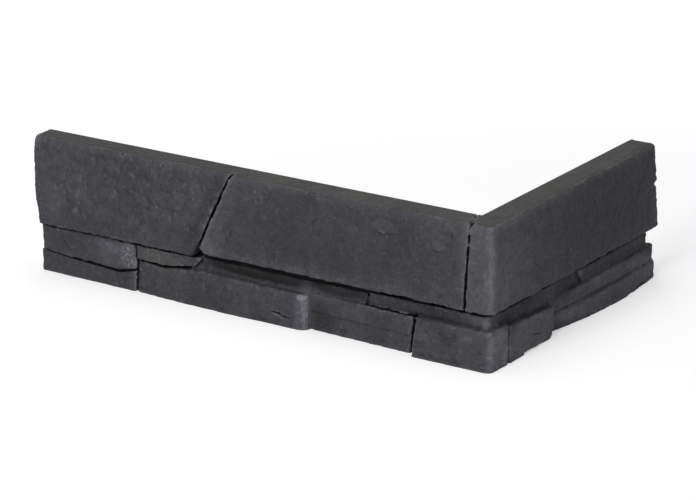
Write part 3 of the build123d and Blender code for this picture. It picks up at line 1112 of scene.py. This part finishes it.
        # Rim of the top bed, where its arris turns down: pale wear and a painted highlight.
        rim = n.math("MULTIPLY", bed, n.math("SUBTRACT", 1.0, bed))
        for share, over in (
            (n.math("MULTIPLY", masks["rough"], crumbs), finish.speck),
            (n.math("MULTIPLY", rubbed, n.math("MINIMUM", tone_and_light, 1.0)), finish.worn),
            (n.math("MULTIPLY", rim, n.sloped(blotch, s.rim)), finish.speck),
            # Painted shade in hollows.
            (n.math("MULTIPLY", masks["hollow"], s.hollow), finish.shade_and_pore),
            (n.math("MULTIPLY", masks["Grain"], s.sand), finish.speck),
            (n.math("MULTIPLY", masks["Pore"], s.pore), finish.shade_and_pore),
            # Painted shade in joints, recesses and under overhangs, where the surface is shut in.
            (n.smooth(masks["shade"], *s.shade), finish.shade_and_pore),
        ):
            colour = n.mix(share, colour, opaque(over))
        return colour

    def material(self, finish: ConcreteFinish) -> bpy.types.Material:
        """Material of one finish.

        Args:
            finish: Its colours and gloss.

        Returns:
            The material.
        """
        made = bpy.data.materials.new(finish.name)
        made.use_nodes = True
        made.node_tree.nodes.clear()
        n = Nodes(made.node_tree)
        place = n.scaled(n.add("ShaderNodeTexCoord").outputs["Object"], 1.0 / MM)
        point = n.vector("MULTIPLY", place, Vector(self.shares.stretch))
        sown = {"Point": point, "Seed": finish.seed}
        mottle = n.use(self.mottling, sown)
        specks = n.use(self.specks, {"Point": point, "Cell": finish.speck_cell, "Share": finish.speck_share})
        grain = n.use(self.grain, sown)
        masks = {**mottle, **specks, **self.notes(n, finish)}
        colour = self.weathered_and_shaded(n, finish, self.pigment(n, finish, mottle), masks)
        bump = n.add("ShaderNodeBump", {"Height": grain["Height"], "Distance": finish.grain * MM})
        feeds = {
            "Base Color": colour,
            "Roughness": n.sloped(mottle["Fleck"], (self.shares.polish, finish.roughness)),
            "Normal": bump.outputs[0],
            "Specular IOR Level": self.shares.specular,
        }
        shader = n.add("ShaderNodeBsdfPrincipled", feeds)
        n.add("ShaderNodeOutputMaterial", {"Surface": shader.outputs[0]})
        return made


@dataclass
class CladdingCorner:
    """The cast corner: its body from the frame, with relief, wear and finish."""

    name: str = "cladding_corner_cast"
    voxel: float = 0.5 * MM
    quick_voxel: float = 1.1 * MM
    most_triangles: int = 194_000
    crisp_angle: float = math.radians(48.0)
    weld: float = 1e-6
    relief: Relief = field(default_factory=Relief)

    def blank(self) -> bpy.types.Object:
        """Even, closed copy of the cast body, ready for its relief."""
        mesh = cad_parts[NODE].data.copy()
        welded = bmesh.new()
        welded.from_mesh(mesh)
        bmesh.ops.remove_doubles(welded, verts=welded.verts, dist=self.weld)
        welded.to_mesh(mesh)
        welded.free()
        mesh.materials.clear()
        piece = bpy.data.objects.new(self.name, mesh)
        bpy.context.scene.collection.objects.link(piece)
        even = piece.modifiers.new("even", "REMESH")
        even.mode = "VOXEL"
        even.voxel_size = self.voxel
        self.settle(piece)
        return piece

    @staticmethod
    def settle(piece: bpy.types.Object) -> None:
        """Turns what the modifiers give into the object's own plain mesh."""
        graph = bpy.context.evaluated_depsgraph_get()
        mesh = bpy.data.meshes.new_from_object(
            piece.evaluated_get(graph), preserve_all_data_layers=True, depsgraph=graph
        )
        piece.modifiers.clear()
        old = piece.data
        piece.data = mesh
        bpy.data.meshes.remove(old)

    def thin(self, piece: bpy.types.Object) -> None:
        """Fewer triangles where the surface is flat."""
        piece.data.calc_loop_triangles()
        ratio = self.most_triangles / len(piece.data.loop_triangles)
        if ratio >= 1.0:
            return
        fewer = piece.modifiers.new("fewer", "DECIMATE")
        fewer.ratio = ratio
        self.settle(piece)

    def dress(self, piece: bpy.types.Object) -> None:
        """Gives the blank its relief and its finishes, and thins it out."""
        shader = ConcreteShader()
        ReliefTree(self.relief).fit(piece, shader.material(RIVEN_FACE), shader.material(STRUCK_BACK))
        self.settle(piece)
        self.thin(piece)
        piece.data.name = self.name
        piece.data.shade_smooth()
        piece.data.set_sharp_from_angle(angle=self.crisp_angle)

    def build(self) -> bpy.types.Object:
        """Makes the piece and hangs it on the frame.

        Returns:
            The finished piece.
        """
        piece = self.blank()
        self.dress(piece)
        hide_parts(NODE)
        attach(piece, BODY)
        return piece


@dataclass(frozen=True)
class Softbox:
    """A square lamp that looks at a point. Metres and watts."""

    name: str
    place: tuple[float, float, float]
    target: tuple[float, float, float]
    width: float
    power: float

    def build(self) -> bpy.types.Object:
        """Hangs the lamp and turns it to its point."""
        lamp = bpy.data.lights.new(self.name, "AREA")
        lamp.size = self.width
        lamp.energy = self.power
        made = bpy.data.objects.new(self.name, lamp)
        bpy.context.scene.collection.objects.link(made)
        made.location = self.place
        made.rotation_euler = (Vector(self.target) - Vector(self.place)).to_track_quat("-Z", "Y").to_euler()
        return made


@dataclass
class Studio:
    """Plain pale floor, white surroundings and soft lamps."""

    floor_radius: float = 9.0
    floor_sides: int = 64
    floor_drop: float = 0.1 * MM
    floor_colour: Colour = (0.72, 0.72, 0.72)
    floor_lift: float = 0.42
    floor_fade: tuple[float, float] = (0.35, 1.3)
    ambient: float = 0.26
    lamps: tuple[Softbox, ...] = (
        Softbox("front_softbox", (0.12, -1.30, 1.05), (-0.1, 0.0, 0.05), 0.7, 16.4),
        Softbox("overhead_softbox", (-0.2, -0.1, 1.7), (-0.1, 0.05, 0.05), 1.4, 9.0),
        Softbox("rear_softbox", (-0.85, 1.15, 0.11), (-0.1, 0.05, 0.05), 0.2, 5.0),
    )

    @staticmethod
    def seen_directly(n: Nodes) -> Socket:
        """Mask of the rays that show the background to the camera, straight or in a reflection."""
        rays = n.add("ShaderNodeLightPath").outputs
        seen = n.math("MAXIMUM", rays["Is Camera Ray"], rays["Is Glossy Ray"])
        return n.math("MAXIMUM", seen, rays["Is Transmission Ray"])

    def floor_finish(self) -> bpy.types.Material:
        """Matt pale floor that keeps shadows, and is seen as white away from them."""
        matt = bpy.data.materials.new("pale_floor")
        matt.use_nodes = True
        matt.node_tree.nodes.clear()
        n = Nodes(matt.node_tree)
        away = n.measure("LENGTH", n.add("ShaderNodeTexCoord").outputs["Object"])
        lift = n.smooth(away, *self.floor_fade, start=self.floor_lift, end=1.0)
        strength = n.math("MULTIPLY", self.seen_directly(n), lift)
        paint = n.add("ShaderNodeBsdfDiffuse", {"Color": opaque(self.floor_colour)})
        glow = n.add("ShaderNodeEmission", {"Color": opaque(WHITE), "Strength": strength})
        both = n.add("ShaderNodeAddShader", {0: paint.outputs[0], 1: glow.outputs[0]})
        n.add("ShaderNodeOutputMaterial", {"Surface": both.outputs[0]})
        return matt

    def floor(self) -> bpy.types.Object:
        """Round floor under the object."""
        mesh = bpy.data.meshes.new("studio_floor")
        disc = bmesh.new()
        bmesh.ops.create_circle(disc, cap_ends=True, radius=self.floor_radius, segments=self.floor_sides)
        disc.to_mesh(mesh)
        disc.free()
        made = bpy.data.objects.new("studio_floor", mesh)
        bpy.context.scene.collection.objects.link(made)
        made.location.z = -self.floor_drop
        mesh.materials.append(self.floor_finish())
        return made

    def surroundings(self) -> None:
        """Even light from all round, seen as white."""
        world = bpy.data.worlds.new("white_surroundings")
        bpy.context.scene.world = world
        world.use_nodes = True
        world.node_tree.nodes.clear()
        n = Nodes(world.node_tree)
        strength = n.math("MULTIPLY_ADD", self.seen_directly(n), 1.0 - self.ambient, self.ambient)
        sky = n.add("ShaderNodeBackground", {"Color": opaque(WHITE), "Strength": strength})
        n.add("ShaderNodeOutputWorld", {"Surface": sky.outputs[0]})

    def build(self) -> None:
        """Sets the whole stage."""
        self.floor()
        self.surroundings()
        for lamp in self.lamps:
            lamp.build()
        bpy.context.scene.view_settings.view_transform = "Standard"


@dataclass
class PhotoCamera:
    """Camera that stands where the picture was taken from."""

    place: tuple[float, float, float] = (1.13014, -1.89409, 0.83008)
    azimuth: float = math.radians(33.07)
    elevation: float = math.radians(18.88)
    focal_pixels: float = 3600.0
    sensor: float = 36.0

    def build(self) -> bpy.types.Object:
        """Makes the camera and gives it to the scene."""
        lens = bpy.data.cameras.new("photo_camera")
        lens.sensor_width = self.sensor
        lens.sensor_fit = "HORIZONTAL"
        lens.lens = self.sensor * self.focal_pixels / IMAGE_WIDTH
        made = bpy.data.objects.new("photo_camera", lens)
        bpy.context.scene.collection.objects.link(made)
        a, e = self.azimuth, self.elevation
        right = Vector((math.cos(a), math.sin(a), 0.0))
        up = Vector((-math.sin(a) * math.sin(e), math.cos(a) * math.sin(e), math.cos(e)))
        turn = Matrix((right, up, right.cross(up))).transposed()
        made.matrix_world = Matrix.Translation(self.place) @ turn.to_4x4()
        bpy.context.scene.camera = made
        return made


def main() -> None:
    """Builds the camera, the stage and the piece, and reports it."""
    logging.basicConfig(level=logging.INFO, format="%(name)s: %(message)s")
    PhotoCamera().build()
    Studio().build()
    piece = CladdingCorner().build()
    piece.data.calc_loop_triangles()
    LOG.info("%s: %d triangles", piece.name, len(piece.data.loop_triangles))


if __name__ == "__main__":
    main()
